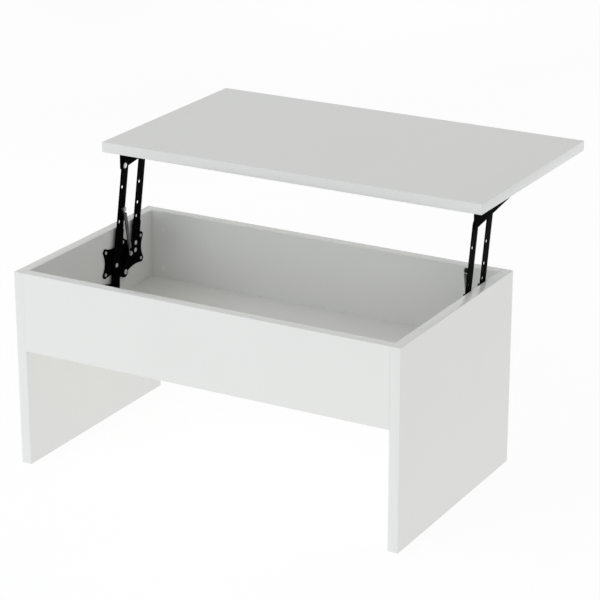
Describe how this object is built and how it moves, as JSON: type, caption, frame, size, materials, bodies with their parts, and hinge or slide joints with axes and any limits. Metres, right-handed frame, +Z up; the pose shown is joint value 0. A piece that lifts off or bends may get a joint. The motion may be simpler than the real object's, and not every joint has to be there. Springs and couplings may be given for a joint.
{
  "type": "lift top coffee table",
  "caption": "White board coffee table with an open storage box on two side boards, and a top that lifts up and back on sprung parallel arms.",
  "frame": {"origin": "on the floor under the middle of the raised table's bounding box", "axes": "+X along the table's width to its right side, +Y towards the side the raised top hangs over, +Z up"},
  "size_m": [1, 0.9516, 0.6901],
  "materials": {
    "board": "white gloss lacquered board",
    "edge_band": "white gloss edge strip",
    "white_plastic": "white moulded plastic",
    "soft_bumper": "translucent soft dot",
    "black_steel": "black powder coat",
    "zinc_steel": "bright zinc plate",
    "zinc_casting": "dull zinc casting",
    "spring_steel": "oiled spring wire",
    "nylon_washer": "black nylon",
    "beech": "plain beech"
  },
  "bodies": {
    "cabinet": {"side_panel_left": "board", "side_panel_right": "board", "front_panel": "board", "back_panel": "board", "bottom_panel": "board", "side_edge_left": "edge_band", "side_edge_right": "edge_band", "front_edge": "edge_band", "back_edge": "edge_band", "foot_glides": "white_plastic", "cam_bolts": "zinc_steel", "cam_locks": "zinc_casting", "cam_caps": "white_plastic", "dowels": "beech", "mount_plate_left": "black_steel", "guard_plate_left": "black_steel", "plate_screws_left": "zinc_steel", "lower_pivots_left": "zinc_steel", "lower_washers_left": "nylon_washer", "spring_anchor_left": "zinc_steel", "mount_plate_right": "black_steel", "guard_plate_right": "black_steel", "plate_screws_right": "zinc_steel", "lower_pivots_right": "zinc_steel", "lower_washers_right": "nylon_washer", "spring_anchor_right": "zinc_steel"},
    "top": {"top_panel": "board", "top_edge": "edge_band", "top_bumpers": "soft_bumper", "top_bracket_left": "black_steel", "bracket_screws_left": "zinc_steel", "upper_pivots_left": "zinc_steel", "upper_washers_left": "nylon_washer", "top_bracket_right": "black_steel", "bracket_screws_right": "zinc_steel", "upper_pivots_right": "zinc_steel", "upper_washers_right": "nylon_washer"},
    "left_front_arm": {"front_arm_left": "black_steel", "front_doubler_left": "black_steel", "front_rivets_left": "zinc_steel"},
    "left_rear_arm": {"rear_arm_left": "black_steel", "rear_doubler_left": "black_steel", "rear_rivets_left": "zinc_steel"},
    "left_spring_lower": {"spring_coil_left": "spring_steel", "spring_eye_low_left": "spring_steel"},
    "left_spring_upper": {"spring_eye_up_left": "spring_steel", "spring_stud_left": "zinc_steel"},
    "right_front_arm": {"front_arm_right": "black_steel", "front_doubler_right": "black_steel", "front_rivets_right": "zinc_steel"},
    "right_rear_arm": {"rear_arm_right": "black_steel", "rear_doubler_right": "black_steel", "rear_rivets_right": "zinc_steel"},
    "right_spring_lower": {"spring_coil_right": "spring_steel", "spring_eye_low_right": "spring_steel"},
    "right_spring_upper": {"spring_eye_up_right": "spring_steel", "spring_stud_right": "zinc_steel"}
  },
  "joints": [
    {"name": "lift", "type": "hinge", "parent": "cabinet", "child": "left_front_arm", "pos_m": [-0.4645, -0.15057, 0.33869], "axis": [1, 0, 0], "range_deg": [0, 89]},
    {"name": "top_tilt", "type": "hinge", "parent": "left_front_arm", "child": "top", "pos_m": [-0.4645, -0.05475, 0.62508], "axis": [1, 0, 0], "range_deg": [-89, 0]},
    {"name": "left_rear_swing", "type": "hinge", "parent": "cabinet", "child": "left_rear_arm", "pos_m": [-0.4645, -0.07157, 0.35969], "axis": [1, 0, 0], "range_deg": [0, 89]},
    {"name": "right_front_swing", "type": "hinge", "parent": "cabinet", "child": "right_front_arm", "pos_m": [0.4645, -0.15057, 0.33869], "axis": [1, 0, 0], "range_deg": [0, 89]},
    {"name": "right_rear_swing", "type": "hinge", "parent": "cabinet", "child": "right_rear_arm", "pos_m": [0.4645, -0.07157, 0.35969], "axis": [1, 0, 0], "range_deg": [0, 89]},
    {"name": "left_spring_swing", "type": "hinge", "parent": "cabinet", "child": "left_spring_lower", "pos_m": [-0.4548, -0.05557, 0.40369], "axis": [1, 0, 0], "range_deg": [0, 77.17]},
    {"name": "left_spring_stretch", "type": "slide", "parent": "left_spring_lower", "child": "left_spring_upper", "axis": [0, -0.1832, 0.9831], "range_m": [0, 0.15688], "deforming": ["spring_coil_left"]},
    {"name": "right_spring_swing", "type": "hinge", "parent": "cabinet", "child": "right_spring_lower", "pos_m": [0.4548, -0.05557, 0.40369], "axis": [1, 0, 0], "range_deg": [0, 77.17]},
    {"name": "right_spring_stretch", "type": "slide", "parent": "right_spring_lower", "child": "right_spring_upper", "axis": [0, -0.1832, 0.9831], "range_m": [0, 0.15688], "deforming": ["spring_coil_right"]}
  ],
  "couplings": [
    {"joint": "top_tilt", "follows": "lift", "ratio": -1},
    {"joint": "left_rear_swing", "follows": "lift", "ratio": 1},
    {"joint": "right_front_swing", "follows": "lift", "ratio": 1},
    {"joint": "right_rear_swing", "follows": "lift", "ratio": 1},
    {"joint": "left_spring_swing", "follows": "lift", "ratio": 0.86704},
    {"joint": "left_spring_stretch", "follows": "lift", "m_per_rad": 0.10099},
    {"joint": "right_spring_swing", "follows": "lift", "ratio": 0.86704},
    {"joint": "right_spring_stretch", "follows": "lift", "m_per_rad": 0.10099}
  ]
}
